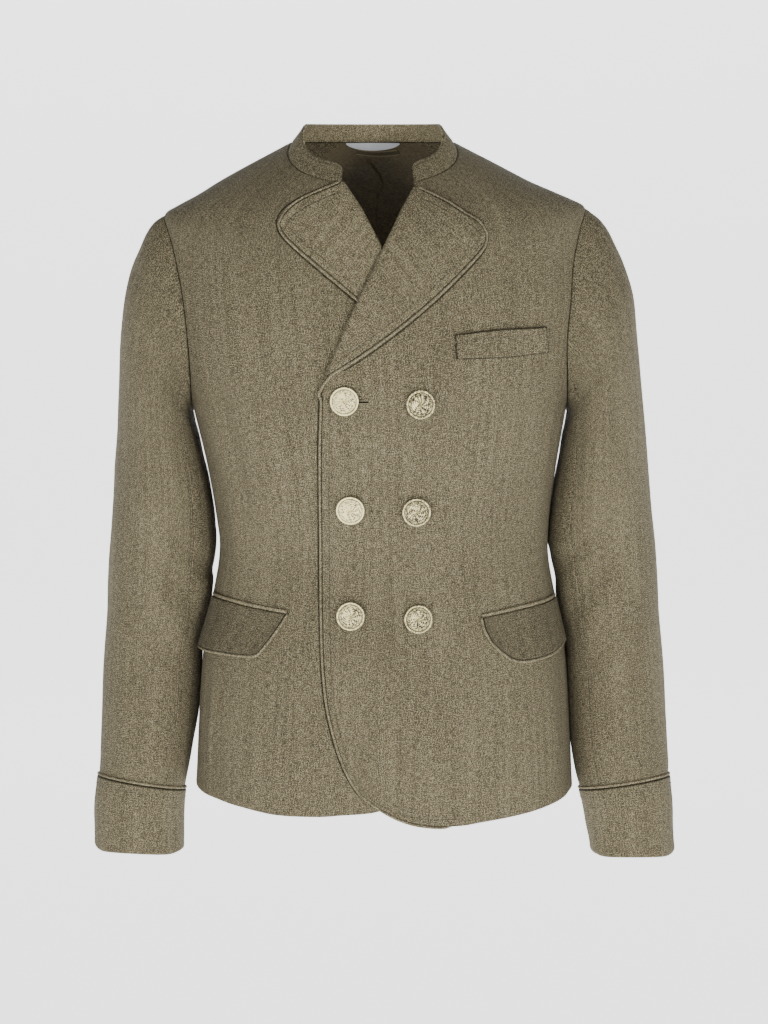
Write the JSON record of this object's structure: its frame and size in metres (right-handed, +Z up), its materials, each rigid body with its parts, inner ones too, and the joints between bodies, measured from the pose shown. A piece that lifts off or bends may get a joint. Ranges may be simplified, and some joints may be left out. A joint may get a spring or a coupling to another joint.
{
  "type": "trachten jacket, filled out with no wearer",
  "caption": "Double-breasted trachten jacket in olive linen cloth with a stand collar, wide lapels, piped edges, hip flaps, turn-back cuffs and old-gold metal buttons.",
  "frame": {"origin": "between the shoulders, where the wearer's neck goes in, level with the ends of the shoulder seams at the neck", "axes": "+Z up the wearer's spine, -Y to the front, +X to the wearer's left"},
  "size_m": [0.6004, 0.2613, 0.7552],
  "materials": {
    "jacket_cloth": "dry linen weave with light and dark threads",
    "piping_cloth": "the jacket's own cloth round a cord",
    "lining": "smooth satin",
    "label": "plain woven, blank",
    "button_metal": "dull pale old gold"
  },
  "bodies": {
    "root": {"front_left": "jacket_cloth", "front_right": "jacket_cloth", "back_left": "jacket_cloth", "back_right": "jacket_cloth", "lapel_left": "jacket_cloth", "lapel_right": "jacket_cloth", "sleeve_top_left": "jacket_cloth", "sleeve_top_right": "jacket_cloth", "sleeve_under_left": "jacket_cloth", "sleeve_under_right": "jacket_cloth", "cuff_left": "jacket_cloth", "cuff_right": "jacket_cloth", "flap_left": "jacket_cloth", "flap_right": "jacket_cloth", "jetting_left": "jacket_cloth", "jetting_right": "jacket_cloth", "collar": "jacket_cloth", "breast_welt": "jacket_cloth", "piping_front_left": "piping_cloth", "piping_lapel_right": "piping_cloth", "piping_flap_left": "piping_cloth", "piping_flap_right": "piping_cloth", "piping_cuff_left": "piping_cloth", "piping_cuff_right": "piping_cloth", "back_lining": "lining", "neck_label": "label", "hanger_loop": "lining", "button_1": "button_metal", "button_2": "button_metal", "button_3": "button_metal", "button_4": "button_metal", "button_5": "button_metal", "button_6": "button_metal"}
  },
  "joints": []
}
